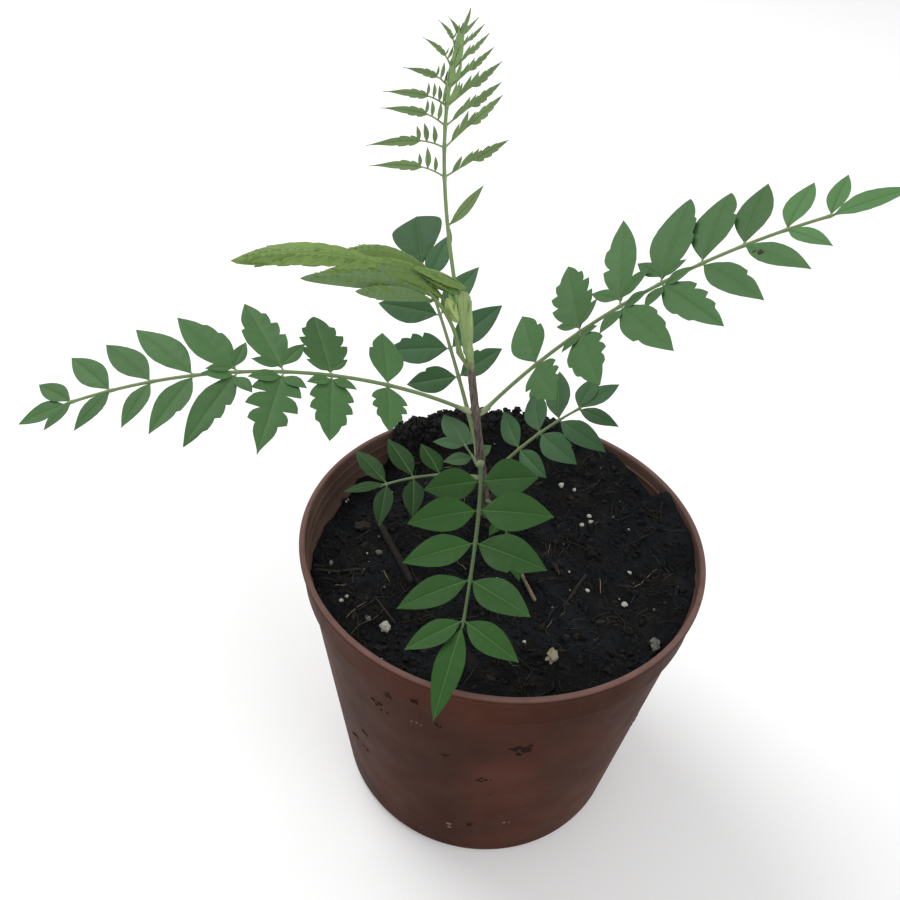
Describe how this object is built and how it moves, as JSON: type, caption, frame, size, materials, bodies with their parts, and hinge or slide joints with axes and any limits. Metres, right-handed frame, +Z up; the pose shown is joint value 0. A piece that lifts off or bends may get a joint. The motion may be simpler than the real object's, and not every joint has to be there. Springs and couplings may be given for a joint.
{
  "type": "potted tree sapling",
  "caption": "Young jacaranda tree with feathery compound leaves on a thin leaning stem, growing in dark soil in a round tapering plastic nursery pot.",
  "frame": {"origin": "centre of the pot's flat underside, on the ground", "axes": "+Z up, -Y the front of the plant as pictured, +X to the right seen from the front"},
  "size_m": [0.2525, 0.1921, 0.2751],
  "materials": {
    "pot": "dull red-brown moulded plastic",
    "soil": "dark moist potting mix",
    "stem": "brown young bark, green at the tip",
    "tip_bud": "soft pale green bud",
    "leaf_left": "matte green leaflets on a thin green midrib",
    "leaf_right": "matte green leaflets on a thin green midrib",
    "leaf_front": "matte green leaflets on a thin green midrib",
    "leaf_back": "matte green leaflets on a thin green midrib",
    "leaf_lower_left": "matte green leaflets on a thin green midrib",
    "leaf_lower_right": "matte green leaflets on a thin green midrib",
    "leaf_small_back": "matte green leaflets on a thin green midrib",
    "leaf_small_front": "matte green leaflets on a thin green midrib",
    "leaf_tall": "matte green leaflets on a thin green midrib",
    "leaf_young": "matte green leaflets on a thin green midrib"
  },
  "bodies": {
    "root": {"pot": "pot", "soil": "soil", "stem": "stem", "tip_bud": "tip_bud", "leaf_left": "leaf_left", "leaf_right": "leaf_right", "leaf_front": "leaf_front", "leaf_back": "leaf_back", "leaf_lower_left": "leaf_lower_left", "leaf_lower_right": "leaf_lower_right", "leaf_small_back": "leaf_small_back", "leaf_small_front": "leaf_small_front", "leaf_tall": "leaf_tall", "leaf_young": "leaf_young"}
  },
  "joints": []
}
